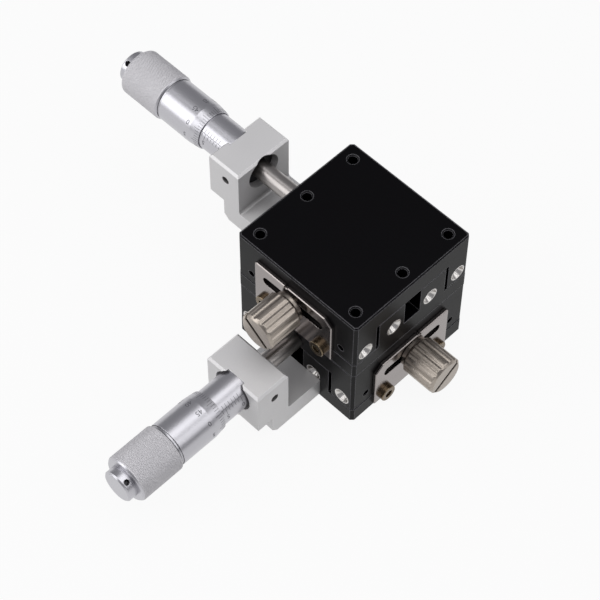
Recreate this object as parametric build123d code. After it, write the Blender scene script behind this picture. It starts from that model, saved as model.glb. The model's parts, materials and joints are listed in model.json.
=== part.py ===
"""Two-axis linear translation stage: two crossed-roller stages stacked at right angles, each moved by a
micrometer head against a return spring and locked by a clamp knob.

Millimetres. The origin is the centre of the lower base's underside, and +Z is up. Each stage is modelled
once in its own frame, with its travel along X, its micrometer at -X and its clamp plate at -Y. The lower
stage keeps that frame. The upper stage stands on the lower table, turned a quarter turn clockwise.
"""

import os
from math import cos, radians, sin, sqrt

from build123d import *

# ---- Stage body ----
stage_size = 40.0
stage_height = 20.4
flange_thickness = 4.6
plate_thickness = 6.1
table_side_relief = 0.1
running_gap = 0.3
body_chamfer = 0.4
corner_chamfer = 0.8
travel = 6.5

# ---- Crossed-roller guides ----
guide_offset = 12.1
guide_height = 8.2
guide_slot = 1.0
rail_gap = 0.8
rail_width = 3.6
rail_height = 5.6
rail_end_cover = 2.9
rail_end_gap = 0.1
roller_diameter = 2.0
roller_play = 0.02
roller_end_play = 0.1
roller_lean = 45.0
roller_count = 7
cage_thickness = 0.4
cage_height = 4.4
cage_run_out = 0.75
cage_end_margin = 2.2
cage_window_play = 0.06

# ---- Central channel and return spring ----
channel_width = 5.6
channel_floor = 5.5
spring_height = 9.4
spring_radius = 1.5
spring_wire = 0.6
spring_turns = 5
spring_hook_radius = 1.3
spring_lead = 1.6
spring_pin_radius = 0.9
spring_pin_depth = 2.6
spring_pin_above = 1.2
base_pin_inset = 6.0
table_pin_inset = 8.0

# ---- Threaded holes and screws ----
thread_play = 0.05
socket_depth_share = 0.55
socket_width_share = 0.55
head_chamfer_share = 0.12
mount_spacing = 32.0
mount_tap_radius = 1.25
mount_tap_depth = 6.0
mount_tap_chamfer = 0.35
mount_clear_radius = 1.7
mount_screw_radius = 1.4
mount_screw_end_gap = 1.0
mount_head_radius = 2.75
mount_head_height = 2.6
mount_head_recess = 2.8
head_play = 0.2
rail_screw_end = 6.0
rail_screw_inset = 1.45
rail_screw_radius = 0.7
rail_screw_head_radius = 1.2
rail_screw_head_height = 1.3
rail_screw_recess = 1.5
rail_screw_grip = 2.4
end_screw_height = 7.8
end_screw_inner_offset = 6.35
end_screw_outer_offset = 16.2
end_screw_head_radius = 2.3
end_screw_head_height = 1.8
end_screw_rim = 0.25
end_screw_dish = 1.4
end_screw_dish_floor = 1.3
end_screw_socket_radius = 0.95
end_screw_radius = 1.2
preload_screw_count = 4
preload_end_inset = 1.8
preload_screw_radius = 0.95
preload_screw_recess = 0.9
preload_socket_radius = 0.57

# ---- Micrometer bracket ----
axis_depth = 4.0
bracket_width = 17.5
bracket_reach = 11.1
bracket_block_length = 10.3
bracket_rise = 1.1
bracket_step_height = 7.5
bracket_foot_length = 16.6
bracket_foot_top = 6.7
bracket_foot_bottom = 0.6
bracket_chamfer = 0.6
bracket_toe_chamfer = 1.6
bracket_inner_fillet = 0.8
bracket_screw_offset = 5.0
bracket_screw_height = 4.3
bracket_screw_radius = 1.2
bracket_screw_head_radius = 1.9
bracket_screw_head_height = 2.4
bracket_screw_recess = 2.8
bracket_screw_grip = 5.0
stem_screw_inset = 4.6
stem_screw_radius = 1.1
stem_screw_recess = 1.0
stem_socket_radius = 0.66
clamp_screw_inset = 2.4
clamp_screw_radius = 1.0
clamp_screw_head_radius = 1.9
clamp_screw_head_height = 2.6

# ---- Micrometer head ----
stem_radius = 5.0
stem_inset = 2.1
counterbore_radius = 5.8
counterbore_depth = 1.4
sleeve_radius = 5.15
sleeve_length = 17.0
bore_step_lead = 0.4
spindle_radius = 2.5
spindle_end_gap = 0.05
screw_radius = 3.5
screw_near_gap = 0.5
nut_radius = 4.8
nut_length = 2.8
running_play = 0.1
thimble_gap = 7.7
thimble_length = 14.5
thimble_bevel_length = 3.2
thimble_lip = 0.3
thimble_radius = 6.0
groove_width = 0.6
groove_depth = 0.25
knurl_length = 13.1
knurl_radius = 6.5
knurl_chamfer = 0.6
knurl_margin = 0.9
knurl_count = 40
knurl_depth = 0.18
knurl_flank_angle = 45.0
thimble_wall_inset = 3.3
spindle_shoulder_gap = 0.3
tail_radius = 2.0
tail_end_inset = 4.7
cap_radius = 4.4
cap_length = 2.7
cap_chamfer = 0.4
cap_stud_gap = 0.4
spanner_hole_radius = 0.75
spanner_hole_depth = 1.8
spanner_hole_angle = 123.0

# ---- Anvil pressed into the table's end ----
anvil_radius = 1.7
anvil_length = 2.2

# ---- Clamp plate and knob ----
plate_sheet = 1.0
plate_half_length = 12.95
plate_low = 1.5
plate_high = 16.8
plate_corner_run = 2.4
plate_corner_drop = 2.0
plate_blunt = 0.6
plate_edge_chamfer = 0.2
plate_notch_place = 2.3
plate_notch_radius = 0.5
clamp_slot_half_length = 10.0
clamp_slot_height = 2.8
clamp_height = 12.3
plate_screw_place = 9.25
plate_screw_height = 3.6
plate_screw_radius = 0.9
plate_screw_head_radius = 2.3
plate_screw_head_height = 1.3
plate_screw_grip = 4.0
knob_radius = 5.25
knob_length = 10.2
knob_chamfer = 0.7
knob_neck_radius = 4.3
knob_neck_length = 1.1
knob_flutes = 14
knob_flute_radius = 0.9
knob_flute_depth = 0.3
knob_slot_width = 1.2
knob_slot_depth = 1.3
knob_shank_radius = 1.25
knob_shank_reach = 3.6
lower_knob_gap = 0.15
lower_knob_angle = 34.0
upper_knob_gap = 0.9
upper_knob_angle = -39.0

# ---- Sizes that follow from the ones above ----
half_size = stage_size / 2
half_table = half_size - table_side_relief
plate_bottom = stage_height - plate_thickness
block_top = plate_bottom - running_gap
leg_bottom = flange_thickness + running_gap
block_side = guide_offset - guide_slot / 2
leg_side = guide_offset + guide_slot / 2
rail_low = guide_height - rail_height / 2
rail_high = guide_height + rail_height / 2
inner_rail_face = guide_offset - rail_gap / 2
outer_rail_face = guide_offset + rail_gap / 2
pocket_half_length = half_size - rail_end_cover
rail_length = 2 * (pocket_half_length - rail_end_gap)
rail_screw_place = rail_length / 2 - rail_screw_end
cage_half_length = (rail_length - travel) / 2 - cage_run_out
end_screw_length = rail_end_cover - end_screw_head_height
preload_reach = rail_length / 2 - preload_end_inset
mount_half = mount_spacing / 2
base_pin_place = base_pin_inset - half_size
table_pin_place = half_size - table_pin_inset
axis_height = stage_height - axis_depth
bracket_near = half_size + bracket_reach
bracket_far = bracket_near + bracket_block_length
bracket_foot_far = half_size + bracket_foot_length
bracket_top = stage_height + bracket_rise
stem_near = bracket_near + stem_inset
stem_shoulder = bracket_far - counterbore_depth
sleeve_far = stem_shoulder + sleeve_length
sleeve_bore_step = stem_shoulder - bore_step_lead
screw_near = sleeve_bore_step + travel + screw_near_gap
thimble_near = bracket_far + thimble_gap
knurl_near = thimble_near + thimble_length
knurl_far = knurl_near + knurl_length
thimble_wall_place = knurl_near + thimble_wall_inset
tail_far = knurl_far - tail_end_inset


def block(x_range, y_range, z_range):
    """A box between two X, two Y and two Z places."""
    spans = [x_range, y_range, z_range]
    sizes = [high - low for low, high in spans]
    middles = [(high + low) / 2 for low, high in spans]
    return Pos(*middles) * Box(*sizes)


def rod(radius, start, direction, length):
    """A cylinder from a start point along a direction."""
    frame = Plane(origin=start, z_dir=direction)
    return frame * Cylinder(radius, length, align=(Align.CENTER, Align.CENTER, Align.MIN))


def ring_profile(points):
    """A solid turned about the X axis from (distance along -X, radius) points."""
    outline = Polyline(*[(-along, radius) for along, radius in points], close=True)
    return revolve(make_face(outline), Axis.X)


def group(solids):
    """Separate solids kept in one node."""
    return Compound(label="group", children=list(solids))


def ends():
    """The two ends of the travel axis."""
    return (-1, 1)


def sides():
    """The two sides of the stage."""
    return (-1, 1)


def mount_corners():
    """Places of the four corner mounting holes."""
    return [(x * mount_half, y * mount_half) for x in ends() for y in sides()]


def socket_screw(head_radius, head_height, shank_radius, shank_length):
    """A socket-head screw seated at the origin, with its head towards +Z."""
    head = rod(head_radius, (0, 0, 0), (0, 0, 1), head_height)
    head = chamfer(head.edges().group_by(Axis.Z)[-1], head_height * head_chamfer_share)
    shank = rod(shank_radius, (0, 0, 0), (0, 0, -1), shank_length)
    hexagon = RegularPolygon(head_radius * socket_width_share, 6)
    socket = Pos(0, 0, head_height) * extrude(hexagon, -head_height * socket_depth_share)
    return head + shank - socket


# ---- Base and table ----


def end_screw_recess(end, offset, height):
    """Head recess and shank hole of one end screw, cut from an end face."""
    start = (end * half_size, offset, height)
    recess = rod(end_screw_head_radius + thread_play, start, (-end, 0, 0), end_screw_head_height)
    shank = rod(end_screw_radius + thread_play, start, (-end, 0, 0), end_screw_head_height + end_screw_length)
    return recess + shank


def rail_pocket(y_range, z_range):
    """Closed-end pocket that a rail lies in, cut from the face beside the slot."""
    return block((-pocket_half_length, pocket_half_length), y_range, z_range)


def rail_screw_holes(y, z, up):
    """Holes of one rail's screws, from the pocket's floor into the body."""
    places = (-rail_screw_place, rail_screw_place)
    return [rod(rail_screw_radius + thread_play, (x, y, z), (0, 0, up), rail_screw_grip) for x in places]


def both_sides(cutters):
    """Cutters on +Y and their half-turn copies on -Y."""
    return cutters + [Rot(0, 0, 180) * cutter for cutter in cutters]


def base():
    """Lower half of a stage: a flange and a centre block with pockets for the inner rails."""
    flange = block((-half_size, half_size), (-half_size, half_size), (0, flange_thickness))
    flange = chamfer(flange.edges().filter_by(Axis.Z), corner_chamfer)
    centre = block((-half_size, half_size), (-block_side, block_side), (flange_thickness, block_top))
    body = flange + centre
    body -= block((-stage_size, stage_size), (-channel_width / 2, channel_width / 2), (channel_floor, stage_size))
    pocket = rail_pocket((inner_rail_face - rail_width, guide_offset), (rail_low, stage_height))
    screw_line = inner_rail_face - rail_width + rail_screw_inset
    body -= both_sides([pocket] + rail_screw_holes(screw_line, rail_low, -1))
    for end in ends():
        for side in sides():
            body -= end_screw_recess(end, side * end_screw_inner_offset, end_screw_height)
    for x, y in mount_corners():
        recess_floor = flange_thickness - mount_head_recess
        body -= rod(mount_head_radius + head_play, (x, y, recess_floor), (0, 0, 1), flange_thickness)
        body -= rod(mount_clear_radius, (x, y, 0), (0, 0, 1), flange_thickness)
    for side in sides():
        start = (side * plate_screw_place, -half_size, plate_screw_height)
        body -= rod(plate_screw_radius + thread_play, start, (0, 1, 0), plate_screw_grip)
        start = (-half_size, side * bracket_screw_offset, bracket_screw_height)
        body -= rod(bracket_screw_radius + thread_play, start, (1, 0, 0), bracket_screw_grip)
    body -= rod(spring_pin_radius, (base_pin_place, 0, channel_floor), (0, 0, -1), spring_pin_depth)
    return body


def mount_tap(x, y):
    """Blind tapped hole in the table's top, with a lead-in chamfer."""
    hole = rod(mount_tap_radius, (x, y, stage_height), (0, 0, -1), mount_tap_depth)
    lead_radius = mount_tap_radius + mount_tap_chamfer
    lead = Cone(mount_tap_radius, lead_radius, mount_tap_chamfer, align=(Align.CENTER, Align.CENTER, Align.MAX))
    return hole + Pos(x, y, stage_height) * lead


def stacking_hole(x, y):
    """Threaded hole that a stacking screw fills, at the screw's own size."""
    return rod(mount_screw_radius + thread_play, (x, y, stage_height), (0, 0, -1), mount_tap_depth)


def table(corner_hole):
    """Upper half of a stage: a plate on two legs that carry the outer rails."""
    body = block((-half_size, half_size), (-half_table, half_table), (leg_bottom, stage_height))
    body = chamfer(body.edges().filter_by(Axis.Z), corner_chamfer)
    body = chamfer(body.edges().group_by(Axis.Z)[-1], body_chamfer)
    body -= block((-stage_size, stage_size), (-leg_side, leg_side), (0, plate_bottom))
    pocket = rail_pocket((guide_offset, outer_rail_face + rail_width), (0, rail_high))
    screw_line = outer_rail_face + rail_width - rail_screw_inset
    body -= both_sides([pocket] + rail_screw_holes(screw_line, rail_high, 1))
    for end in ends():
        body -= mount_tap(end * mount_half, 0)
        for side in sides():
            body -= end_screw_recess(end, side * end_screw_outer_offset, end_screw_height)
    for x, y in mount_corners():
        body -= corner_hole(x, y)
    wall = half_table - outer_rail_face - rail_width
    for x in preload_screw_places():
        body -= rod(preload_screw_radius + thread_play, (x, -half_table, guide_height), (0, 1, 0), wall)
    body -= rod(knob_shank_radius + thread_play, (0, -half_size, clamp_height), (0, 1, 0), knob_shank_reach)
    body -= rod(anvil_radius, (-half_size, 0, axis_height), (1, 0, 0), anvil_length)
    body -= rod(spring_pin_radius, (table_pin_place, 0, plate_bottom), (0, 0, 1), spring_pin_depth)
    return body


def preload_screw_places():
    """X places of the preload screws, evenly spaced along the rail."""
    gap = 2 * preload_reach / (preload_screw_count - 1)
    return [index * gap - preload_reach for index in range(preload_screw_count)]


# ---- Crossed-roller guides ----


def rail():
    """One V rail, its V facing +Y at Y = 0, with its screw heads sunk from above."""
    body = block((-rail_length / 2, rail_length / 2), (-rail_width, 0), (-rail_height / 2, rail_height / 2))
    square = roller_diameter + 2 * roller_play
    vee_depth = (square * sqrt(2) - rail_gap) / 2
    vee = Polyline((0, -vee_depth), (-vee_depth, 0), (0, vee_depth), close=True)
    body -= extrude(Plane.YZ * make_face(vee), rail_length, both=True)
    for x in (-rail_screw_place, rail_screw_place):
        place = (x, rail_screw_inset - rail_width, rail_height / 2)
        body -= rod(rail_screw_radius + thread_play, place, (0, 0, -1), rail_height)
        body -= rod(rail_screw_head_radius + thread_play, place, (0, 0, -1), rail_screw_recess)
    return body


def rail_screws():
    """The two screws of one rail, in the rail's frame."""
    grip = rail_height - rail_screw_recess + rail_screw_grip
    screw = socket_screw(rail_screw_head_radius, rail_screw_head_height, rail_screw_radius, grip)
    seat = rail_height / 2 - rail_screw_recess
    places = [(x, rail_screw_inset - rail_width, seat) for x in (-rail_screw_place, rail_screw_place)]
    return [Pos(*place) * screw for place in places]


def inner_places():
    """Frames of the two inner rails, on the base."""
    return [Rot(0, 0, turn) * Pos(0, inner_rail_face, guide_height) for turn in (0, 180)]


def outer_places():
    """Frames of the two outer rails, on the table, which lie upside down."""
    return [Rot(0, 0, turn) * Pos(0, outer_rail_face, guide_height) * Rot(180, 0, 0) for turn in (0, 180)]


def roller_places():
    """X places of the rollers, evenly spaced along their cage."""
    reach = cage_half_length - cage_end_margin
    gap = 2 * reach / (roller_count - 1)
    return [index * gap - reach for index in range(roller_count)]


def cages():
    """The two thin strips that keep the rollers apart."""
    y_range = (guide_offset - cage_thickness / 2, guide_offset + cage_thickness / 2)
    z_range = (guide_height - cage_height / 2, guide_height + cage_height / 2)
    strip = block((-cage_half_length, cage_half_length), y_range, z_range)
    half_window = roller_diameter / sqrt(2) + cage_window_play
    half_roller = roller_diameter / 2 + cage_window_play
    for x in roller_places():
        z_window = (guide_height - half_window, guide_height + half_window)
        strip -= block((x - half_roller, x + half_roller), (0, stage_size), z_window)
    return group([strip, Rot(0, 0, 180) * strip])


def rollers():
    """Short rollers that lean left and right in turn, at 45 degrees."""
    length = roller_diameter - roller_end_play
    solids = []
    for index, x in enumerate(roller_places()):
        lean = roller_lean if index % 2 == 0 else -roller_lean
        roller = Pos(x, guide_offset, guide_height) * Rot(lean, 0, 0) * Cylinder(roller_diameter / 2, length)
        solids += [roller, Rot(0, 0, 180) * roller]
    return group(solids)


# ---- Fasteners of the stage body ----


def end_screws(offset):
    """Dished screws set flush in both end faces."""
    screw = rod(end_screw_head_radius, (0, 0, 0), (0, 0, -1), end_screw_head_height)
    screw += rod(end_screw_radius, (0, 0, 0), (0, 0, -1), end_screw_head_height + end_screw_length)
    rim_radius = end_screw_head_radius - end_screw_rim
    top = (Align.CENTER, Align.CENTER, Align.MAX)
    screw -= Cone(end_screw_dish_floor, rim_radius, end_screw_dish, align=top)
    screw -= extrude(RegularPolygon(end_screw_socket_radius, 6), -end_screw_head_height)
    solids = []
    for end in ends():
        for side in sides():
            face = Plane(origin=(end * half_size, side * offset, end_screw_height), z_dir=(end, 0, 0))
            solids.append(face * screw)
    return group(solids)


def preload_screws():
    """Headless screws that press the -Y outer rail towards its rollers."""
    length = half_table - outer_rail_face - rail_width - preload_screw_recess
    screw = rod(preload_screw_radius, (0, 0, 0), (0, 0, -1), length)
    screw -= extrude(RegularPolygon(preload_socket_radius, 6), -preload_screw_recess)
    y = -half_table + preload_screw_recess
    faces = [Plane(origin=(x, y, guide_height), z_dir=(0, -1, 0)) for x in preload_screw_places()]
    return group([face * screw for face in faces])


def stacking_screws():
    """Screws that hold the upper base down on the lower table."""
    seat = flange_thickness - mount_head_recess
    grip = seat + mount_tap_depth - mount_screw_end_gap
    screw = socket_screw(mount_head_radius, mount_head_height, mount_screw_radius, grip)
    return group([Pos(x, y, stage_height + seat) * screw for x, y in mount_corners()])


# ---- Return spring ----


def spring_pin(place, start, up):
    """Upright pin that a spring hook goes round."""
    reach = abs(spring_height - start) + spring_pin_above
    body = rod(spring_pin_radius, (place, 0, start - up * spring_pin_depth), (0, 0, up), reach + spring_pin_depth)
    return body


def return_spring():
    """Extension spring with an eye round each pin."""
    coil_start = base_pin_place + spring_hook_radius + spring_lead
    coil_end = table_pin_place - spring_hook_radius - spring_lead
    length = coil_end - coil_start
    path = Helix(length / spring_turns, length, spring_radius, direction=(1, 0, 0))
    path = Pos(coil_start, 0, spring_height) * path
    wire = Plane(origin=path @ 0, z_dir=path % 0) * Circle(spring_wire / 2)
    solid = sweep(wire, path=path)
    for pin, tip, inward in ((base_pin_place, path @ 0, 1), (table_pin_place, path @ 1, -1)):
        eye = Pos(pin, 0, spring_height) * Torus(spring_hook_radius, spring_wire / 2)
        neck = Vector(pin + inward * spring_hook_radius, 0, spring_height)
        link = tip - neck
        solid += eye
        solid += rod(spring_wire / 2, neck, link, link.length)
    return solid


# ---- Micrometer bracket ----


def bracket():
    """L-shaped bracket: a foot on the base's end and a block that holds the micrometer's stem."""
    outline = Polyline(
        (-half_size, bracket_foot_bottom),
        (-half_size, bracket_foot_top),
        (-bracket_near, bracket_foot_top),
        (-bracket_near, bracket_top),
        (-bracket_far, bracket_top),
        (-bracket_far, bracket_step_height),
        (-bracket_foot_far, bracket_step_height),
        (-bracket_foot_far, bracket_foot_bottom + bracket_toe_chamfer),
        (-bracket_foot_far + bracket_toe_chamfer, bracket_foot_bottom),
        close=True,
    )
    body = extrude(Plane.XZ * make_face(outline), bracket_width / 2, both=True)
    inner_corner = body.edges().filter_by(Axis.Y).sort_by_distance((-bracket_near, 0, bracket_foot_top))[0]
    body = fillet(inner_corner, bracket_inner_fillet)
    body = chamfer(body.faces().sort_by(Axis.Z)[-1].edges(), bracket_chamfer)
    body -= rod(stem_radius + roller_play, (-bracket_near, 0, axis_height), (-1, 0, 0), bracket_far)
    body -= rod(counterbore_radius, (-stem_shoulder, 0, axis_height), (-1, 0, 0), bracket_far)
    for side in sides():
        start = (-bracket_foot_far, side * bracket_screw_offset, bracket_screw_height)
        body -= rod(bracket_screw_head_radius + head_play, start, (1, 0, 0), bracket_screw_recess)
        body -= rod(bracket_screw_radius + thread_play, start, (1, 0, 0), bracket_foot_far - half_size)
    start = (-bracket_near - stem_screw_inset, -bracket_width / 2, axis_height)
    body -= rod(stem_screw_radius + thread_play, start, (0, 1, 0), bracket_width / 2)
    start = (clamp_screw_inset - bracket_far, 0, bracket_step_height)
    body -= rod(clamp_screw_radius + thread_play, start, (0, 0, 1), axis_height - bracket_step_height)
    return body


def bracket_screws():
    """Two screws through the foot into the base."""
    grip = bracket_foot_far - bracket_screw_recess - half_size + bracket_screw_grip
    screw = socket_screw(bracket_screw_head_radius, bracket_screw_head_height, bracket_screw_radius, grip)
    solids = []
    for side in sides():
        seat = (bracket_screw_recess - bracket_foot_far, side * bracket_screw_offset, bracket_screw_height)
        solids.append(Plane(origin=seat, z_dir=(-1, 0, 0)) * screw)
    return group(solids)


def stem_set_screw():
    """Headless screw in the bracket's side, pressed on the stem."""
    length = bracket_width / 2 - stem_screw_recess - stem_radius - roller_play
    screw = rod(stem_screw_radius, (0, 0, 0), (0, 0, -1), length)
    screw -= extrude(RegularPolygon(stem_socket_radius, 6), -length * socket_depth_share)
    origin = (-bracket_near - stem_screw_inset, stem_screw_recess - bracket_width / 2, axis_height)
    return Plane(origin=origin, z_dir=(0, -1, 0)) * screw


def stem_clamp_screw():
    """Screw from below that holds the stem against the bore."""
    grip = axis_height - stem_radius - roller_play - bracket_step_height
    screw = socket_screw(clamp_screw_head_radius, clamp_screw_head_height, clamp_screw_radius, grip)
    return Plane(origin=(clamp_screw_inset - bracket_far, 0, bracket_step_height), z_dir=(0, 0, -1)) * screw


# ---- Micrometer head ----


def on_axis(solid):
    """Lift a turned piece to the micrometer's axis."""
    return Pos(0, 0, axis_height) * solid


def sleeve():
    """Fixed stem and sleeve."""
    points = [
        (stem_near, spindle_radius + thread_play),
        (stem_near, stem_radius),
        (stem_shoulder, stem_radius),
        (stem_shoulder, sleeve_radius),
        (sleeve_far, sleeve_radius),
        (sleeve_far, screw_radius + running_play),
        (sleeve_bore_step, screw_radius + running_play),
        (sleeve_bore_step, spindle_radius + thread_play),
    ]
    return on_axis(ring_profile(points))


def adjusting_nut():
    """Ring nut on the sleeve's end that takes up the screw's play."""
    inner = screw_radius + thread_play
    points = [
        (sleeve_far, inner),
        (sleeve_far, nut_radius),
        (sleeve_far + nut_length, nut_radius),
        (sleeve_far + nut_length, inner),
    ]
    return on_axis(ring_profile(points))


def spindle():
    """Ground spindle, its screw and the tail that carries the thimble."""
    screw_far = thimble_wall_place - spindle_shoulder_gap
    points = [
        (half_size + spindle_end_gap, 0),
        (half_size + spindle_end_gap, spindle_radius),
        (screw_near, spindle_radius),
        (screw_near, screw_radius),
        (screw_far, screw_radius),
        (screw_far, tail_radius),
        (tail_far, tail_radius),
        (tail_far, 0),
    ]
    return on_axis(ring_profile(points))


def thimble():
    """Graduated thimble with a bevelled edge and a knurled grip."""
    bore = sleeve_radius + running_play
    points = [
        (thimble_near, bore),
        (thimble_near, bore + thimble_lip),
        (thimble_near + thimble_bevel_length, thimble_radius),
        (knurl_near - groove_width, thimble_radius),
        (knurl_near - groove_width, thimble_radius - groove_depth),
        (knurl_near, thimble_radius - groove_depth),
        (knurl_near, knurl_radius),
        (knurl_far - knurl_chamfer, knurl_radius),
        (knurl_far, knurl_radius - knurl_chamfer),
        (knurl_far, tail_radius + thread_play),
        (thimble_wall_place, tail_radius + thread_play),
        (thimble_wall_place, bore),
    ]
    body = ring_profile(points)
    groove_side = 2 * knurl_depth
    groove = Rot(knurl_flank_angle, 0, 0) * Box(knurl_length - 2 * knurl_margin, groove_side, groove_side)
    middle = -(knurl_near + knurl_far) / 2
    grooves = [Rot(turn * 360 / knurl_count, 0, 0) * Pos(middle, 0, knurl_radius) * groove
               for turn in range(knurl_count)]
    return on_axis(body - grooves)


def thimble_cap():
    """End cap with a spanner hole, its stud in the thimble's bore."""
    body = rod(cap_radius, (-knurl_far, 0, 0), (-1, 0, 0), cap_length)
    body = chamfer(body.edges().group_by(Axis.X)[0], cap_chamfer)
    stud_length = knurl_far - tail_far - cap_stud_gap
    body += rod(tail_radius, (-knurl_far, 0, 0), (1, 0, 0), stud_length)
    outward = (0, cos(radians(spanner_hole_angle)), sin(radians(spanner_hole_angle)))
    start = Vector(-knurl_far - cap_length / 2, 0, 0) + Vector(*outward) * (cap_radius - spanner_hole_depth)
    body -= rod(spanner_hole_radius, start, outward, cap_radius)
    return on_axis(body)


def anvil():
    """Hardened button in the table's end that the spindle pushes."""
    return rod(anvil_radius, (-half_size, 0, axis_height), (1, 0, 0), anvil_length)


# ---- Clamp ----


def clamp_plate(cut_end):
    """Slotted plate on the base's side, its cut corner at one end of the travel."""
    outline = Polyline(
        (cut_end * plate_half_length, plate_low),
        (cut_end * plate_half_length, plate_high - plate_corner_drop),
        (cut_end * (plate_half_length - plate_corner_run), plate_high),
        (-cut_end * (plate_half_length - plate_blunt), plate_high),
        (-cut_end * plate_half_length, plate_high - plate_blunt),
        (-cut_end * plate_half_length, plate_low),
        close=True,
    )
    face = make_face(outline)
    face -= Pos(0, clamp_height) * SlotOverall(2 * clamp_slot_half_length, clamp_slot_height)
    face -= Pos(-cut_end * plate_notch_place, plate_high) * Circle(plate_notch_radius)
    for side in sides():
        face -= Pos(side * plate_screw_place, plate_screw_height) * Circle(plate_screw_radius + thread_play)
    body = extrude(Plane.XZ.offset(half_size) * face, plate_sheet)
    front = body.faces().sort_by(Axis.Y)[0]
    return chamfer(front.outer_wire().edges(), plate_edge_chamfer)


def clamp_plate_screws():
    """Two socket screws that hold the plate to the base's flange."""
    grip = plate_sheet + plate_screw_grip
    screw = socket_screw(plate_screw_head_radius, plate_screw_head_height, plate_screw_radius, grip)
    seats = [(side * plate_screw_place, -half_size - plate_sheet, plate_screw_height) for side in sides()]
    return group([Plane(origin=seat, z_dir=(0, -1, 0)) * screw for seat in seats])


def clamp_knob(gap, angle):
    """Fluted thumb screw with a screwdriver slot, its shank through the plate's slot into the table."""
    head = rod(knob_radius, (0, 0, 0), (0, 0, 1), knob_length)
    head = chamfer(head.edges().filter_by(GeomType.CIRCLE), knob_chamfer)
    flute_place = knob_radius + knob_flute_radius - knob_flute_depth
    flute = rod(knob_flute_radius, (flute_place, 0, 0), (0, 0, 1), knob_length)
    head -= [Rot(0, 0, turn * 360 / knob_flutes) * flute for turn in range(knob_flutes)]
    head -= Pos(0, 0, knob_length) * Rot(0, 0, angle) * Box(2 * knob_radius, knob_slot_width, 2 * knob_slot_depth)
    head += rod(knob_neck_radius, (0, 0, 0), (0, 0, -1), knob_neck_length)
    shank_length = knob_neck_length + gap + plate_sheet + knob_shank_reach
    head += rod(knob_shank_radius, (0, 0, 0), (0, 0, -1), shank_length - thread_play)
    out = half_size + plate_sheet + gap + knob_neck_length
    return Plane(origin=(0, -out, clamp_height), x_dir=(1, 0, 0), z_dir=(0, -1, 0)) * head


# ---- Assembly ----


def stage(prefix, corner_hole, cut_end, knob_gap, knob_angle):
    """Every piece of one stage, in the stage's own frame."""
    pieces = {
        "base": base(),
        "table": table(corner_hole),
        "inner_rails": group([place * rail() for place in inner_places()]),
        "outer_rails": group([place * rail() for place in outer_places()]),
        "inner_rail_screws": group([place * screw for place in inner_places() for screw in rail_screws()]),
        "outer_rail_screws": group([place * screw for place in outer_places() for screw in rail_screws()]),
        "roller_cages": cages(),
        "rollers": rollers(),
        "base_end_screws": end_screws(end_screw_inner_offset),
        "table_end_screws": end_screws(end_screw_outer_offset),
        "preload_screws": preload_screws(),
        "base_spring_pin": spring_pin(base_pin_place, channel_floor, 1),
        "table_spring_pin": spring_pin(table_pin_place, plate_bottom, -1),
        "return_spring": return_spring(),
        "micrometer_bracket": bracket(),
        "bracket_screws": bracket_screws(),
        "stem_set_screw": stem_set_screw(),
        "stem_clamp_screw": stem_clamp_screw(),
        "micrometer_sleeve": sleeve(),
        "adjusting_nut": adjusting_nut(),
        "spindle": spindle(),
        "thimble": thimble(),
        "thimble_cap": thimble_cap(),
        "anvil": anvil(),
        "clamp_plate": clamp_plate(cut_end),
        "clamp_plate_screws": clamp_plate_screws(),
        "clamp_knob": clamp_knob(knob_gap, knob_angle),
    }
    return {f"{prefix}_{name}": piece for name, piece in pieces.items()}


def assembly():
    """Lower stage, upper stage on its table and the screws between them.

    The upper clamp plate is the same part turned over, so its cut corner is at the other end.
    """
    nodes = stage("lower", stacking_hole, -1, lower_knob_gap, lower_knob_angle)
    upper_frame = Pos(0, 0, stage_height) * Rot(0, 0, -90)
    upper = stage("upper", mount_tap, 1, upper_knob_gap, upper_knob_angle)
    for name, piece in upper.items():
        nodes[name] = upper_frame * piece
    nodes["stacking_screws"] = stacking_screws()
    return nodes


os.makedirs("parts", exist_ok=True)
for node_name, node_piece in assembly().items():
    export_step(node_piece, f"parts/{node_name}.step")
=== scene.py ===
"""Looks of a two-axis linear translation stage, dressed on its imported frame.

Sizes are in metres, but for the micrometers' own, which are in millimetres.
"""

import json
from math import cos, pi, radians, sin

import bmesh
import bpy
from mathutils import Matrix, Vector


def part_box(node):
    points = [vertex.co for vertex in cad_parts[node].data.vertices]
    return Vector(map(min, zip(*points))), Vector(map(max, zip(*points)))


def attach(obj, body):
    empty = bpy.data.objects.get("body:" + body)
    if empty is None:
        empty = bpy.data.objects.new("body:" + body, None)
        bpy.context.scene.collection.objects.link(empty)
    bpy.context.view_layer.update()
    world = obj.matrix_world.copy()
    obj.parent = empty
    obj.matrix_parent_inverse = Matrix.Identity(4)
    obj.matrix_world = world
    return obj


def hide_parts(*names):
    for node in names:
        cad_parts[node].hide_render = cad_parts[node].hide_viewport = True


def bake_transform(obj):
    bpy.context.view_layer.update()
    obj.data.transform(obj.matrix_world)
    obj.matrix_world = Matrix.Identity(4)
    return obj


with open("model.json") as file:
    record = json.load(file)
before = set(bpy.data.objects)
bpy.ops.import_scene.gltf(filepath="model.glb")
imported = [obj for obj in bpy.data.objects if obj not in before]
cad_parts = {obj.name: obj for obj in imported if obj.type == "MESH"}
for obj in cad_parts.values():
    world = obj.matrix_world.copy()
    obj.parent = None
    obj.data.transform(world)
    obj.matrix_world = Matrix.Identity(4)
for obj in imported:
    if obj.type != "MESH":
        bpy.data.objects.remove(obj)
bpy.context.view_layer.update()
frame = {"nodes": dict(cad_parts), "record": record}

MM = 0.001


# ---- Node trees ----

# A Mix node's sockets for its factor and its two colours, and its colour output.
MIX_FACTOR, MIX_FIRST, MIX_SECOND, MIX_RESULT = 0, 6, 7, 2
CORNER_SAMPLES = 6
OCCLUSION_SAMPLES = 8
# How far a rounded corner turns from its face where edge wear and painted highlight begin and where they are
# full.
EDGE_BEND = (0.004, 0.06)


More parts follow.
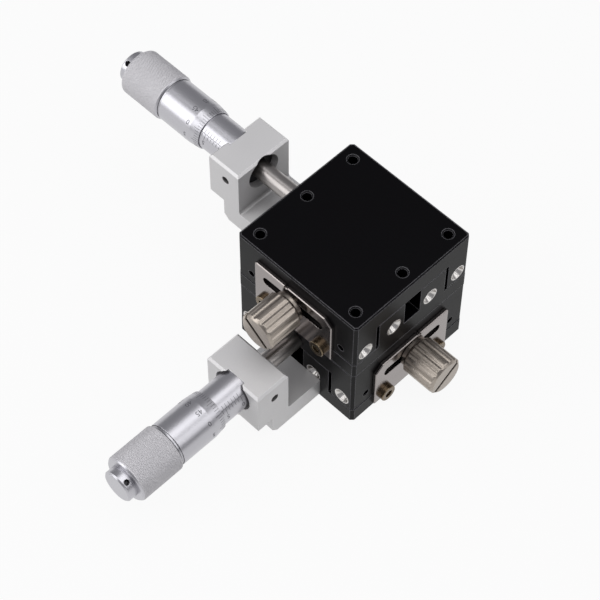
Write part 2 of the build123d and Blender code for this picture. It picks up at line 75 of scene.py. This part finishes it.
class Socket:
    """A value or socket of a node tree that adds Math nodes when it is calculated with."""

    def __init__(self, nodes, value):
        self.nodes = nodes
        self.value = value

    def math(self, operation, *others):
        return self.nodes.make("ShaderNodeMath", {"operation": operation}, [self, *others])

    def __add__(self, other):
        return self.math("ADD", other)

    __radd__ = __add__

    def __mul__(self, other):
        return self.math("MULTIPLY", other)

    __rmul__ = __mul__

    def __sub__(self, other):
        return self.math("SUBTRACT", other)

    def __rsub__(self, other):
        return self.nodes.make("ShaderNodeMath", {"operation": "SUBTRACT"}, [other, self])

    def __truediv__(self, other):
        return self.math("DIVIDE", other)

    def __mod__(self, other):
        return self.math("FLOORED_MODULO", other)


class Nodes:
    """One material's, world's or shape's node tree."""

    def __init__(self, tree):
        self.tree = tree
        tree.nodes.clear()

    def make(self, kind, settings, values, output=0):
        """Add a node, set it up, fill its sockets by number or name, and give one output."""
        node = self.tree.nodes.new(kind)
        for name, setting in settings.items():
            setattr(node, name, setting)
        pairs = values.items() if isinstance(values, dict) else enumerate(values)
        for name, value in pairs:
            if isinstance(value, Socket):
                value = value.value
            if isinstance(value, bpy.types.NodeSocket):
                self.tree.links.new(value, node.inputs[name])
            elif value is not None:
                node.inputs[name].default_value = value
        return Socket(self, node.outputs[output]) if len(node.outputs) else None

    def place(self):
        """Object coordinates."""
        return self.make("ShaderNodeTexCoord", {}, [], "Object")

    def noise(self, scale, detail=2.0, stretch=(1, 1, 1)):
        """Noise from 0 to 1, finer at a larger scale and squeezed along axes."""
        spot = self.make("ShaderNodeMapping", {}, {"Vector": self.place(), "Scale": stretch})
        values = {"Vector": spot, "Scale": scale, "Detail": detail}
        return self.make("ShaderNodeTexNoise", {}, values, "Fac")

    def step(self, value, low, high):
        """0 below low, 1 above high and a smooth rise between."""
        values = {"Value": value, "From Min": low, "From Max": high}
        return self.make("ShaderNodeMapRange", {"interpolation_type": "SMOOTHSTEP"}, values)

    def mix(self, factor, first, second):
        """Blend of two colours."""
        values = {MIX_FACTOR: factor, MIX_FIRST: first, MIX_SECOND: second}
        return self.make("ShaderNodeMix", {"data_type": "RGBA"}, values, MIX_RESULT)

    def likeness(self, first, second):
        """1 where two directions agree, 0 where they are square to each other."""
        return self.make("ShaderNodeVectorMath", {"operation": "DOT_PRODUCT"}, [first, second], "Value")

    def flat(self):
        """The face's own direction."""
        return self.make("ShaderNodeNewGeometry", {}, [], "Normal")

    def corner(self, width):
        """Direction of a face that is rounded near its edges."""
        return self.make("ShaderNodeBevel", {"samples": CORNER_SAMPLES}, {"Radius": width})

    def edge(self, width):
        """1 on an edge, falling to 0 inside the face beside it."""
        return self.step(1.0 - self.likeness(self.corner(width), self.flat()), *EDGE_BEND)

    def shelter(self, reach):
        """1 deep in a hole or an inner corner of the same piece, falling to 0 in the open: the mask of
        painted shade.
        """
        settings = {"samples": OCCLUSION_SAMPLES, "only_local": True}
        return 1.0 - self.make("ShaderNodeAmbientOcclusion", settings, {"Distance": reach}, "AO")

    def facing(self, direction):
        """1 on faces turned towards a direction."""
        return self.likeness(self.flat(), direction)


def rgb(*color):
    return (*color, 1.0)


def shade(color, factor):
    """A colour made lighter or darker."""
    return rgb(*[min(1.0, part * factor) for part in color])


# ---- Finishes ----


def material(name, build):
    """A material whose surface is made by a function of its nodes."""
    result = bpy.data.materials.new(name)
    result.use_nodes = True
    nodes = Nodes(result.node_tree)
    surface = build(nodes)
    nodes.make("ShaderNodeOutputMaterial", {}, {"Surface": surface})
    return result


DRIFT_SCALE = 70.0
DRIFT_TINT = 0.05
GRAIN_SCALE = 900.0
GRAIN_DETAIL = 4.0
GRAIN_SHARE = 0.5
GRAIN_DEPTH = 0.05
GRAIN_HEIGHT = 0.1 * MM
# Parts of a metal's roughness: even, from the grain and from the slow drift.
EVEN_ROUGH = 0.75
GRAIN_ROUGH = 0.35
DRIFT_ROUGH = 0.15
ROUND_EDGE = 0.15 * MM
# Edge colour, partly wear and partly painted highlight: its width, patch scale, patch rise and share.
WEAR_AND_HIGHLIGHT_WIDTH = 0.18 * MM
WEAR_AND_HIGHLIGHT_SCALE = 1500.0
WEAR_AND_HIGHLIGHT_PATCHES = (0.1, 0.5)
WEAR_AND_HIGHLIGHT_SHARE = 0.7
# Painted shade in holes and inner corners: where it rises and how dark it gets.
PAINTED_SHADE_RISE = (0.2, 0.8)
PAINTED_SHADE_FACTOR = 0.12
# Painted shade on faces towards one direction: where it rises and how dark it gets.
PAINTED_FACING_RISE = (0.9, 0.99)
PAINTED_FACING_SHADE = 0.04


def metal(
    color, roughness, metallic=1.0, specular=0.5, tint=DRIFT_TINT, grain=GRAIN_SCALE, stretch=(1, 1, 1),
    depth=GRAIN_DEPTH, round_edge=ROUND_EDGE, wear_and_highlight_color=None, wear_and_highlight_share=WEAR_AND_HIGHLIGHT_SHARE, wear_and_highlight_width=WEAR_AND_HIGHLIGHT_WIDTH,
    painted_shade_reach=None, painted_shade_facing=None,
):
    """A metal surface with drifting colour, fine grain and rounded edges.

    Its edges can be lightened to another colour in patches, partly as wear and partly as a painted
    highlight; its holes and inner corners can get painted shade over a reach, and the faces towards one
    direction get painted shade.
    """

    def build(nodes):
        drift = nodes.noise(DRIFT_SCALE)
        fine = nodes.noise(grain, GRAIN_DETAIL, stretch)
        base = nodes.mix(drift, shade(color, 1 - tint), shade(color, 1 + tint))
        base = nodes.mix(fine * GRAIN_SHARE, base, shade(color, 1 - 2 * tint))
        rough = roughness * EVEN_ROUGH + fine * roughness * GRAIN_ROUGH + drift * roughness * DRIFT_ROUGH
        # Painted shade: holes and inner corners darkened within a reach.
        if painted_shade_reach:
            shade_mask = nodes.step(nodes.shelter(painted_shade_reach), *PAINTED_SHADE_RISE)
            base = nodes.mix(shade_mask, base, shade(color, PAINTED_SHADE_FACTOR))
        # Painted shade: faces towards one direction darkened.
        if painted_shade_facing:
            turned = nodes.step(nodes.facing(painted_shade_facing), *PAINTED_FACING_RISE)
            base = nodes.mix(turned, base, shade(color, PAINTED_FACING_SHADE))
        # Edges lightened in patches, partly as wear and partly as a painted highlight.
        if wear_and_highlight_color:
            wear_and_highlight = nodes.edge(wear_and_highlight_width) * nodes.step(nodes.noise(WEAR_AND_HIGHLIGHT_SCALE), *WEAR_AND_HIGHLIGHT_PATCHES)
            base = nodes.mix(wear_and_highlight * wear_and_highlight_share, base, rgb(*wear_and_highlight_color))
        values = {"Strength": depth, "Distance": GRAIN_HEIGHT, "Height": fine}
        bump = nodes.make("ShaderNodeBump", {}, {**values, "Normal": nodes.corner(round_edge)})
        values = {
            "Base Color": base, "Metallic": metallic, "Roughness": rough, "Normal": bump,
            "Specular IOR Level": specular,
        }
        return nodes.make("ShaderNodeBsdfPrincipled", {}, values)

    return build


SPECK_SCALE = 4000.0
SPECK_SHADES = (0.7, 1.5)
SPECK_ROUGH = (0.8, 0.4)


def paint(color, roughness):
    """Paint rubbed into cut lines and figures."""

    def build(nodes):
        speck = nodes.noise(SPECK_SCALE)
        base = nodes.mix(speck, *[shade(color, factor) for factor in SPECK_SHADES])
        even, varied = SPECK_ROUGH
        values = {"Base Color": base, "Roughness": roughness * even + speck * roughness * varied}
        return nodes.make("ShaderNodeBsdfPrincipled", {}, values)

    return build


CHROME_COLOR = (0.52, 0.515, 0.545)
CHROME_ROUGHNESS = 0.32
# Satin chrome gets painted shade in its holes.
SATIN_CHROME = {"grain": 1500.0, "stretch": (1, 6, 6), "depth": 0.03, "painted_shade_reach": 1.5 * MM}
TOWARDS_STAGE = {"lower": (1, 0, 0), "upper": (0, -1, 0)}

# Edge colours in these finishes are partly wear and partly painted highlight.
FINISHES = {
    "black_anodised": metal(
        (0.0013, 0.0011, 0.0017), 0.36, metallic=0.0, grain=3000.0, depth=0.10, specular=0.08,
        wear_and_highlight_color=(0.17, 0.167, 0.18), wear_and_highlight_share=0.85, wear_and_highlight_width=0.3 * MM),
    # Clear anodising gets painted shade in its holes and inner corners.
    "clear_anodised": metal(
        (0.63, 0.622, 0.625), 0.42, metallic=0.35, grain=2200.0, depth=0.10,
        wear_and_highlight_color=(0.80, 0.80, 0.80), wear_and_highlight_share=0.5, painted_shade_reach=10 * MM),
    "satin_chrome": metal(CHROME_COLOR, CHROME_ROUGHNESS, **SATIN_CHROME),
    "rail_steel": metal((0.34, 0.32, 0.31), 0.30, depth=0.02),
    "spring_steel": metal((0.30, 0.30, 0.31), 0.35),
    "dark_screw_steel": metal((0.15, 0.112, 0.072), 0.27, metallic=0.95, wear_and_highlight_color=(0.50, 0.41, 0.28), wear_and_highlight_share=0.6),
    # Nickel parts and the knob get painted shade in their hollows.
    "nickel": metal((0.66, 0.64, 0.62), 0.26, painted_shade_reach=1.5 * MM),
    "nickel_sheet": metal(
        (0.29, 0.262, 0.254), 0.19, grain=2600.0, stretch=(0.04, 0.04, 1.0), depth=0.07, tint=0.08,
        wear_and_highlight_color=(0.55, 0.51, 0.49), wear_and_highlight_share=0.4),
    "nickel_knob": metal(
        (0.37, 0.328, 0.288), 0.29, grain=1600.0, round_edge=0.4 * MM,
        wear_and_highlight_color=(0.66, 0.61, 0.54), wear_and_highlight_share=0.5, painted_shade_reach=1 * MM),
    "cage_brass": metal((0.55, 0.42, 0.20), 0.30),
    "knurled_chrome": metal((0.58, 0.57, 0.59), 0.50, metallic=0.55, grain=2500.0, depth=0.08),
    "scale_paint": paint((0.09, 0.09, 0.10), 0.5),
}


def finish_nodes():
    """Give every CAD node the finish of its record slot, and paint shade on each sleeve's end towards its
    stage.
    """
    made = {name: material(name, build) for name, build in FINISHES.items()}
    for part in frame["record"]["subparts"]:
        mesh = frame["nodes"][part["node"]].data
        mesh.materials.clear()
        mesh.materials.append(made[part["material_slot"]])
    # Each sleeve's end face towards its stage gets painted shade.
    for prefix, direction in TOWARDS_STAGE.items():
        sleeve_chrome_painted_shade = metal(CHROME_COLOR, CHROME_ROUGHNESS, painted_shade_facing=direction, **SATIN_CHROME)
        frame["nodes"][prefix + "_micrometer_sleeve"].data.materials[0] = material(
            prefix + "_sleeve_chrome_painted_shade", sleeve_chrome_painted_shade)
    return made


# ---- Shapes ----

MERGE_GAP = 1e-7


def new_object(name, mesh):
    result = bpy.data.objects.new(name, mesh)
    bpy.context.scene.collection.objects.link(result)
    return result


def lathe(name, profile, count):
    """Turned shape about X from a ring of points, each a place along X and a radius."""
    points = []
    for step in range(count):
        turn = step / count * 2 * pi
        points += [(along, radius * cos(turn), radius * sin(turn)) for along, radius in profile]
    size = len(profile)
    faces = []
    for step in range(count):
        here, there = step * size, (step + 1) % count * size
        faces += [(here + k, here + k + 1, there + k + 1, there + k) for k in range(size - 1)]
    mesh = bpy.data.meshes.new(name)
    mesh.from_pydata(points, [], faces)
    return mesh


def close_mesh(mesh, sharp_angle):
    """Join doubled points, turn the faces outwards and keep the corners crisp."""
    shape = bmesh.new()
    shape.from_mesh(mesh)
    bmesh.ops.remove_doubles(shape, verts=shape.verts, dist=MERGE_GAP)
    bmesh.ops.recalc_face_normals(shape, faces=shape.faces)
    shape.to_mesh(mesh)
    shape.free()
    mesh.shade_smooth()
    mesh.set_sharp_from_angle(angle=sharp_angle)


def shape_tree(name, sizes, build):
    """A Geometry Nodes tree with named sizes, closed by Realize Instances and Set Material."""
    tree = bpy.data.node_groups.new(name, "GeometryNodeTree")
    tree.interface.new_socket(name="Geometry", in_out="INPUT", socket_type="NodeSocketGeometry")
    tree.interface.new_socket(name="Geometry", in_out="OUTPUT", socket_type="NodeSocketGeometry")
    for label, kind in sizes.items():
        tree.interface.new_socket(name=label, in_out="INPUT", socket_type=kind)
    nodes = Nodes(tree)
    entry = tree.nodes.new("NodeGroupInput")
    inputs = {socket.name: Socket(nodes, socket) for socket in entry.outputs if socket.name}
    shape = build(nodes, inputs)
    shape = nodes.make("GeometryNodeRealizeInstances", {}, {"Geometry": shape})
    shape = nodes.make("GeometryNodeSetMaterial", {}, {"Geometry": shape, "Material": inputs["Material"]})
    nodes.make("NodeGroupOutput", {}, {"Geometry": shape})
    return tree


def grown(source, tree, sizes):
    """Plain mesh that a tree makes from a source mesh and its sizes."""
    carrier = new_object("carrier", source)
    modifier = carrier.modifiers.new("shape", "NODES")
    modifier.node_group = tree
    for socket in tree.interface.items_tree:
        if socket.in_out == "INPUT" and socket.name in sizes:
            modifier[socket.identifier] = sizes[socket.name]
    view = bpy.context.evaluated_depsgraph_get()
    mesh = bpy.data.meshes.new_from_object(carrier.evaluated_get(view))
    bpy.data.objects.remove(carrier)
    return mesh


FLOAT = "NodeSocketFloat"
WHOLE = "NodeSocketInt"
MATERIAL = "NodeSocketMaterial"


def knurl_build(nodes, sizes):
    """Diamond knurl: a band of four-sided points between crossing grooves, round the X axis."""
    across = sizes["Diamonds round"] * 2
    along = sizes["Diamonds along"] * 2
    grid = nodes.make("GeometryNodeMeshGrid", {}, [1.0, 1.0, across + 1, along + 1])
    place = nodes.make("GeometryNodeInputPosition", {}, [])
    across_place = nodes.make("ShaderNodeSeparateXYZ", {}, [place], "X")
    along_place = nodes.make("ShaderNodeSeparateXYZ", {}, [place], "Y")
    column = ((across_place + 0.5) * across).math("ROUND")
    row = ((along_place + 0.5) * along).math("ROUND")
    low = 1 - (column + row) % 2
    end_row = row.math("COMPARE", 0.0, 0.5).math("MAXIMUM", row.math("COMPARE", along, 0.5))
    radius = sizes["Radius"] - sizes["Depth"] * low.math("MAXIMUM", end_row)
    turn = column / across * (2 * pi)
    place_along = sizes["Start"] - row / along * sizes["Length"]
    spot = [place_along, radius * turn.math("COSINE"), radius * turn.math("SINE")]
    spot = nodes.make("ShaderNodeCombineXYZ", {}, spot)
    band = nodes.make("GeometryNodeSetPosition", {}, {"Geometry": grid, "Position": spot})
    band = nodes.make("GeometryNodeTriangulate", {"quad_method": "SHORTEST_DIAGONAL"}, {"Mesh": band})
    return nodes.make("GeometryNodeMergeByDistance", {}, {"Geometry": band, "Distance": MERGE_GAP})


KNURL_SIZES = {
    "Start": FLOAT, "Length": FLOAT, "Radius": FLOAT, "Depth": FLOAT,
    "Diamonds round": WHOLE, "Diamonds along": WHOLE, "Material": MATERIAL,
}


def ring_build(nodes, sizes):
    """Copies of a mark, spaced evenly round the X axis."""
    line = nodes.make("GeometryNodePoints", {}, {"Count": sizes["Count"]})
    index = nodes.make("GeometryNodeInputIndex", {}, [])
    turn = nodes.make("ShaderNodeCombineXYZ", {}, [index / sizes["Count"] * (2 * pi), 0.0, 0.0])
    turn = nodes.make("FunctionNodeEulerToRotation", {}, [turn])
    values = {"Points": line, "Instance": sizes["Geometry"], "Rotation": turn}
    return nodes.make("GeometryNodeInstanceOnPoints", {}, values)


def row_build(nodes, sizes):
    """Copies of a mark, spaced evenly along the X axis."""
    gap = nodes.make("ShaderNodeCombineXYZ", {}, [sizes["Pitch"], 0.0, 0.0])
    line = nodes.make("GeometryNodeMeshLine", {}, {"Count": sizes["Count"], "Offset": gap})
    return nodes.make("GeometryNodeInstanceOnPoints", {}, {"Points": line, "Instance": sizes["Geometry"]})


def arc_mark(name, along, angles, radii, steps=6):
    """Thin closed mark on a turned surface.

    It lies between two places, two angles and, at each place, two radii.
    """
    points = []
    for step in range(steps + 1):
        turn = radians(angles[0] + (angles[1] - angles[0]) * step / steps)
        for place, (low, high) in zip(along, radii):
            for radius in (low, high):
                points.append((place * MM, -radius * MM * sin(turn), radius * MM * cos(turn)))
    faces = []
    sides_round = ((0, 1), (1, 3), (3, 2), (2, 0))
    for step in range(steps):
        here, there = step * 4, step * 4 + 4
        faces += [(here + one, here + other, there + other, there + one) for one, other in sides_round]
    last = steps * 4
    faces += [(0, 1, 3, 2), (last, last + 2, last + 3, last + 1)]
    mesh = bpy.data.meshes.new(name)
    mesh.from_pydata(points, [], faces)
    return mesh


# A digit's height as a share of its font's size, and half its thickness in millimetres.
DIGIT_SHARE = 0.72
FIGURE_LIFT = 0.015


def figure(words, height, along, angle, radius):
    """A number that reads along -X, wrapped on a turned surface at a place and an angle."""
    curve = bpy.data.curves.new("figure", "FONT")
    curve.body = words
    curve.size = height * MM / DIGIT_SHARE
    curve.extrude = FIGURE_LIFT * MM
    curve.resolution_u = 3
    curve.align_y = "CENTER"
    carrier = new_object("figure", curve)
    view = bpy.context.evaluated_depsgraph_get()
    mesh = bpy.data.meshes.new_from_object(carrier.evaluated_get(view))
    bpy.data.objects.remove(carrier)
    for vertex in mesh.vertices:
        right, up, out = vertex.co
        turn = radians(angle) + up / (radius * MM)
        reach = radius * MM + out
        vertex.co = (along * MM - right, -reach * sin(turn), reach * cos(turn))
    return mesh


TURNED_CREASE = radians(8)


def joined(name, meshes, place):
    """One closed mesh from several, put in its place."""
    shape = bmesh.new()
    for mesh in meshes:
        shape.from_mesh(mesh)
    result = bpy.data.meshes.new(name)
    shape.to_mesh(result)
    shape.free()
    result.transform(place)
    close_mesh(result, TURNED_CREASE)
    return result


# ---- Micrometers ----

# Millimetres from a stage's middle out along its micrometer, radii from that axis, and degrees round it.
SLEEVE_RADIUS = 5.15
SLEEVE_NEAR = 41.55
SLEEVE_FAR = 56.8
SCALE_START = 42.6
SCALE_TRAVEL = 13
DATUM_ANGLE = 50.0
THIMBLE_NEAR = 49.1
BEVEL_FAR = 52.3
THIMBLE_RADIUS = 6.0
LIP_RADIUS = 5.55
BORE_RADIUS = 5.25
KNURL_NEAR = 63.6
KNURL_FAR = 76.7
KNURL_RADIUS = 6.5
KNURL_DEPTH = 0.13
KNURL_ROUND = 96
KNURL_ALONG = 17
KNURL_NEAR_SLOPE = 0.35
KNURL_FAR_CHAMFER = 0.45
KNURL_FAR_BLUNT = 0.06
KNURL_FAR_STEP = 0.09
KNURL_FINISH_NEAR = 0.3
KNURL_FINISH_FAR = 0.4
KNURL_FINISH_RADIUS = 5.9
GROOVE_WIDTH = 0.6
GROOVE_DEPTH = 0.25
GROOVE_CHAMFER = 0.08
EDGE_BREAK = 0.05
WALL_PLACE = 66.9
TAIL_RADIUS = 2.05
TURNED_STEPS = 2 * KNURL_ROUND

DIVISIONS = 50
DIVISION_INSET = 0.12
DIVISION_LENGTH = 1.3
FIFTH_LENGTH = 2.0
DIVISION_ANGLES = (-0.5, 0.5)
DIVISION_LIFTS = (-0.03, 0.01)
FIGURE_STEP = 5
FIGURE_PLACE = 52.9
FIGURE_HEIGHT = 1.35

LINE_STEPS = 2
SLEEVE_LINE_LIFTS = (-0.05, 0.012)
SLEEVE_LINE_HALF_WIDTH = 0.05
DATUM_HALF_ANGLE = 0.6
SHORT_LINE_ANGLE = 13
LONG_LINE_ANGLE = 19
SLEEVE_FIGURE_ANGLE = 28
SLEEVE_FIGURE_HEIGHT = 1.3
SLEEVE_FIGURE_SHIFT = 0.45
WHOLE_PITCH = 1.0
HALF_SHIFT = 0.5


def micrometer_place(prefix):
    """From a micrometer's own axis, pointing out along -X, to its place on its stage."""
    low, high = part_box(prefix + "_micrometer_sleeve")
    height = (low[2] + high[2]) / 2
    turn = Matrix.Rotation(-pi / 2, 4, "Z") if prefix == "upper" else Matrix.Identity(4)
    return Matrix.Translation((0, 0, height)) @ turn


def thimble_profiles():
    """The turned outline before the knurl and behind it, from the lip round to the lip's inside."""
    valley = KNURL_RADIUS - KNURL_DEPTH
    groove = KNURL_NEAR - GROOVE_WIDTH
    front = [
        (THIMBLE_NEAR, BORE_RADIUS),
        (THIMBLE_NEAR, LIP_RADIUS - EDGE_BREAK),
        (THIMBLE_NEAR + EDGE_BREAK, LIP_RADIUS),
        (BEVEL_FAR, THIMBLE_RADIUS),
        (groove - GROOVE_CHAMFER, THIMBLE_RADIUS),
        (groove, THIMBLE_RADIUS - GROOVE_CHAMFER),
        (groove, THIMBLE_RADIUS - GROOVE_DEPTH),
        (KNURL_NEAR, THIMBLE_RADIUS - GROOVE_DEPTH),
        (KNURL_NEAR, THIMBLE_RADIUS - EDGE_BREAK),
        (KNURL_NEAR + KNURL_NEAR_SLOPE, valley),
    ]
    back = [
        (KNURL_FAR - KNURL_FAR_CHAMFER, valley),
        (KNURL_FAR - KNURL_FAR_BLUNT, valley - KNURL_FAR_CHAMFER + KNURL_FAR_STEP),
        (KNURL_FAR, valley - KNURL_FAR_CHAMFER),
        (KNURL_FAR, TAIL_RADIUS),
        (WALL_PLACE, TAIL_RADIUS),
        (WALL_PLACE, BORE_RADIUS),
        (THIMBLE_NEAR, BORE_RADIUS),
    ]
    return [[(-along * MM, radius * MM) for along, radius in part] for part in (front, back)]


def thimbles(made, knurl_tree):
    """Turned thimble with a bevelled edge and a diamond-knurled grip, for each micrometer."""
    front, back = thimble_profiles()
    parts = [lathe("part", part, TURNED_STEPS) for part in (front, back)]
    turned = joined("turned", parts, Matrix.Identity(4))
    blank = bpy.data.meshes.new("blank")
    sizes = {
        "Start": front[-1][0], "Length": front[-1][0] - back[0][0], "Radius": KNURL_RADIUS * MM,
        "Depth": KNURL_DEPTH * MM, "Diamonds round": KNURL_ROUND, "Diamonds along": KNURL_ALONG,
        "Material": made["knurled_chrome"],
    }
    knurl = grown(blank, knurl_tree, sizes)
    for prefix in ("lower", "upper"):
        mesh = joined(prefix + "_knurled_thimble", [turned, knurl], micrometer_place(prefix))
        mesh.materials.append(made["satin_chrome"])
        mesh.materials.append(made["knurled_chrome"])
        mark_knurl(mesh, prefix)
        piece = new_object(prefix + "_knurled_thimble", mesh)
        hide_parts(prefix + "_thimble")
        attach(piece, prefix + "_thimble_assembly")


def mark_knurl(mesh, prefix):
    """Give the band's faces the knurled finish."""
    back_to_axis = micrometer_place(prefix).inverted()
    for face in mesh.polygons:
        along, across, up = back_to_axis @ face.center
        reach = (across * across + up * up) ** 0.5
        inside = -KNURL_FAR + KNURL_FINISH_FAR < along / MM < -KNURL_NEAR - KNURL_FINISH_NEAR
        face.material_index = int(inside and reach > KNURL_FINISH_RADIUS * MM)


def thimble_scales(made, ring_tree):
    """Fifty divisions on the bevel, with a longer line and a number at every fifth."""
    slope = (THIMBLE_RADIUS - LIP_RADIUS) / (BEVEL_FAR - THIMBLE_NEAR)

    def bevel_line(name, length):
        near = THIMBLE_NEAR + DIVISION_INSET
        ends = (-near, -near - length)
        surface = [LIP_RADIUS + slope * (-end - THIMBLE_NEAR) for end in ends]
        radii = [[radius + lift for lift in DIVISION_LIFTS] for radius in surface]
        return arc_mark(name, ends, DIVISION_ANGLES, radii, LINE_STEPS)

    paint_slot = made["scale_paint"]
    kinds = (("division", DIVISION_LENGTH, DIVISIONS), ("fifth", FIFTH_LENGTH, DIVISIONS // FIGURE_STEP))
    lines = [
        grown(bevel_line(name, length), ring_tree, {"Count": count, "Material": paint_slot})
        for name, length, count in kinds
    ]
    numbers = []
    for value in range(0, DIVISIONS, FIGURE_STEP):
        angle = DATUM_ANGLE + 360 * value / DIVISIONS
        numbers.append(figure(str(value), FIGURE_HEIGHT, -FIGURE_PLACE, angle, THIMBLE_RADIUS))
    turn = Matrix.Rotation(radians(DATUM_ANGLE), 4, "X")
    for line in lines:
        line.transform(turn)
    for prefix in ("lower", "upper"):
        body = prefix + "_thimble_assembly"
        add_scale(prefix + "_thimble_scale", lines + numbers, prefix, body, paint_slot)


def sleeve_scales(made, row_tree):
    """Datum line with whole millimetres above it and halves below, numbered at every fifth."""
    radii = [[SLEEVE_RADIUS + lift for lift in SLEEVE_LINE_LIFTS]] * 2
    paint_slot = made["scale_paint"]
    datum_angles = (DATUM_ANGLE - DATUM_HALF_ANGLE, DATUM_ANGLE + DATUM_HALF_ANGLE)
    datum = arc_mark("datum", (-SLEEVE_NEAR, -SLEEVE_FAR), datum_angles, radii, LINE_STEPS)

    def row(start, reach, pitch, count):
        ends = (-start + SLEEVE_LINE_HALF_WIDTH, -start - SLEEVE_LINE_HALF_WIDTH)
        mark = arc_mark("mark", ends, (DATUM_ANGLE, DATUM_ANGLE + reach), radii)
        return grown(mark, row_tree, {"Count": count, "Pitch": -pitch * MM, "Material": paint_slot})

    marks = [
        datum,
        row(SCALE_START, SHORT_LINE_ANGLE, WHOLE_PITCH, SCALE_TRAVEL + 1),
        row(SCALE_START, LONG_LINE_ANGLE, WHOLE_PITCH * FIGURE_STEP, SCALE_TRAVEL // FIGURE_STEP + 1),
        row(SCALE_START + HALF_SHIFT, -SHORT_LINE_ANGLE, WHOLE_PITCH, SCALE_TRAVEL),
    ]
    for value in range(0, SCALE_TRAVEL + 1, FIGURE_STEP):
        along = -SCALE_START - value + SLEEVE_FIGURE_SHIFT
        angle = DATUM_ANGLE + SLEEVE_FIGURE_ANGLE
        marks.append(figure(str(value), SLEEVE_FIGURE_HEIGHT, along, angle, SLEEVE_RADIUS))
    for prefix, body in (("lower", "lower_base_assembly"), ("upper", "middle_assembly")):
        add_scale(prefix + "_sleeve_scale", marks, prefix, body, paint_slot)


def add_scale(name, marks, prefix, body, finish):
    mesh = joined(name, marks, micrometer_place(prefix))
    mesh.materials.clear()
    mesh.materials.append(finish)
    piece = new_object(name, mesh)
    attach(piece, body)


def micrometers(made):
    knurl_tree = shape_tree("knurl", KNURL_SIZES, knurl_build)
    ring_tree = shape_tree("ring_of_marks", {"Count": WHOLE, "Material": MATERIAL}, ring_build)
    row_tree = shape_tree("row_of_marks", {"Count": WHOLE, "Pitch": FLOAT, "Material": MATERIAL}, row_build)
    thimbles(made, knurl_tree)
    thimble_scales(made, ring_tree)
    sleeve_scales(made, row_tree)


# ---- Return springs ----

SPRING_CREASE = radians(50)
SPRING_BODIES = {
    "lower": ("lower_base_assembly", "middle_assembly"),
    "upper": ("middle_assembly", "top_assembly"),
}


def return_springs():
    """Coil springs between the two pins of each stage, copied from the CAD springs and smooth-shaded."""
    for prefix, (base, table) in SPRING_BODIES.items():
        rigid = prefix + "_return_spring"
        mesh = frame["nodes"][rigid].data.copy()
        close_mesh(mesh, SPRING_CREASE)
        piece = new_object(prefix + "_stretching_spring", mesh)
        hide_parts(rigid)
        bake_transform(piece)


# ---- Camera, floor and light ----

CAMERA_PLACE = Vector((-0.2259, -0.2049, 0.4626))
CAMERA_RIGHT = Vector((0.70663, -0.70757, 0.00378))
CAMERA_UP = Vector((0.58459, 0.58680, 0.56029))
CAMERA_BACK = Vector((-0.39867, -0.39371, 0.82829))
CAMERA_LENS = 129.66
SENSOR_WIDTH = 36.0
CLIP_START = 10 * MM
CENTRE = Vector((0.0, 0.0, 20 * MM))

FLOOR_HALF = 3.0
FLOOR_GREY = 0.60
FLOOR_GLOW = 0.92
SURROUNDINGS = rgb(0.32, 0.32, 0.335)
# Each lamp's place, width, height and power.
SOFTBOXES = {
    "left_softbox": ((-0.50, 0.38, 0.38), 0.50, 0.60, 2.2),
    "right_softbox": ((0.30, -0.50, 0.45), 0.45, 0.45, 0.9),
    "top_softbox": ((-0.05, -0.05, 0.62), 0.60, 0.60, 2.0),
}


def add_camera():
    """A long lens, looking down at the corner between the two micrometers."""
    data = bpy.data.cameras.new("camera")
    data.lens = CAMERA_LENS
    data.sensor_width = SENSOR_WIDTH
    data.clip_start = CLIP_START
    camera = new_object("camera", data)
    turn = Matrix((CAMERA_RIGHT, CAMERA_UP, CAMERA_BACK)).transposed()
    camera.matrix_world = Matrix.Translation(CAMERA_PLACE) @ turn.to_4x4()
    bpy.context.scene.camera = camera


def floor_surface(nodes):
    """White floor that keeps the object's shadow and shows white to the camera, to metal and to glass."""
    seen = nodes.make("ShaderNodeLightPath", {}, [], "Is Camera Ray")
    for ray in ("Is Glossy Ray", "Is Transmission Ray"):
        seen = seen.math("MAXIMUM", nodes.make("ShaderNodeLightPath", {}, [], ray))
    plain = nodes.make("ShaderNodeBsdfDiffuse", {}, {"Color": rgb(FLOOR_GREY, FLOOR_GREY, FLOOR_GREY)})
    glow = nodes.make("ShaderNodeEmission", {}, {"Color": rgb(1, 1, 1), "Strength": 1.0})
    return nodes.make("ShaderNodeMixShader", {}, [seen * FLOOR_GLOW, plain, glow])


def add_floor():
    """Wide plain floor under the base."""
    corners = [(x * FLOOR_HALF, y * FLOOR_HALF, 0) for x, y in ((-1, -1), (1, -1), (1, 1), (-1, 1))]
    mesh = bpy.data.meshes.new("floor")
    mesh.from_pydata(corners, [], [(0, 1, 2, 3)])
    mesh.materials.append(material("floor", floor_surface))
    new_object("floor", mesh)


def add_softbox(name, place, width, height, power):
    """Large rectangular lamp aimed at the object."""
    data = bpy.data.lights.new(name, "AREA")
    data.shape = "RECTANGLE"
    data.size = width
    data.size_y = height
    data.energy = power
    lamp = new_object(name, data)
    lamp.location = place
    lamp.rotation_euler = (CENTRE - Vector(place)).to_track_quat("-Z", "Y").to_euler()


def add_world():
    """Dim even surroundings."""
    world = bpy.data.worlds.new("studio")
    bpy.context.scene.world = world
    world.use_nodes = True
    nodes = Nodes(world.node_tree)
    surface = nodes.make("ShaderNodeBackground", {}, {"Color": SURROUNDINGS, "Strength": 1.0})
    nodes.make("ShaderNodeOutputWorld", {}, {"Surface": surface})


def light_and_camera():
    add_camera()
    add_floor()
    add_world()
    for name, box in SOFTBOXES.items():
        add_softbox(name, *box)
    bpy.context.scene.view_settings.view_transform = "Standard"


made_finishes = finish_nodes()
micrometers(made_finishes)
return_springs()
light_and_camera()
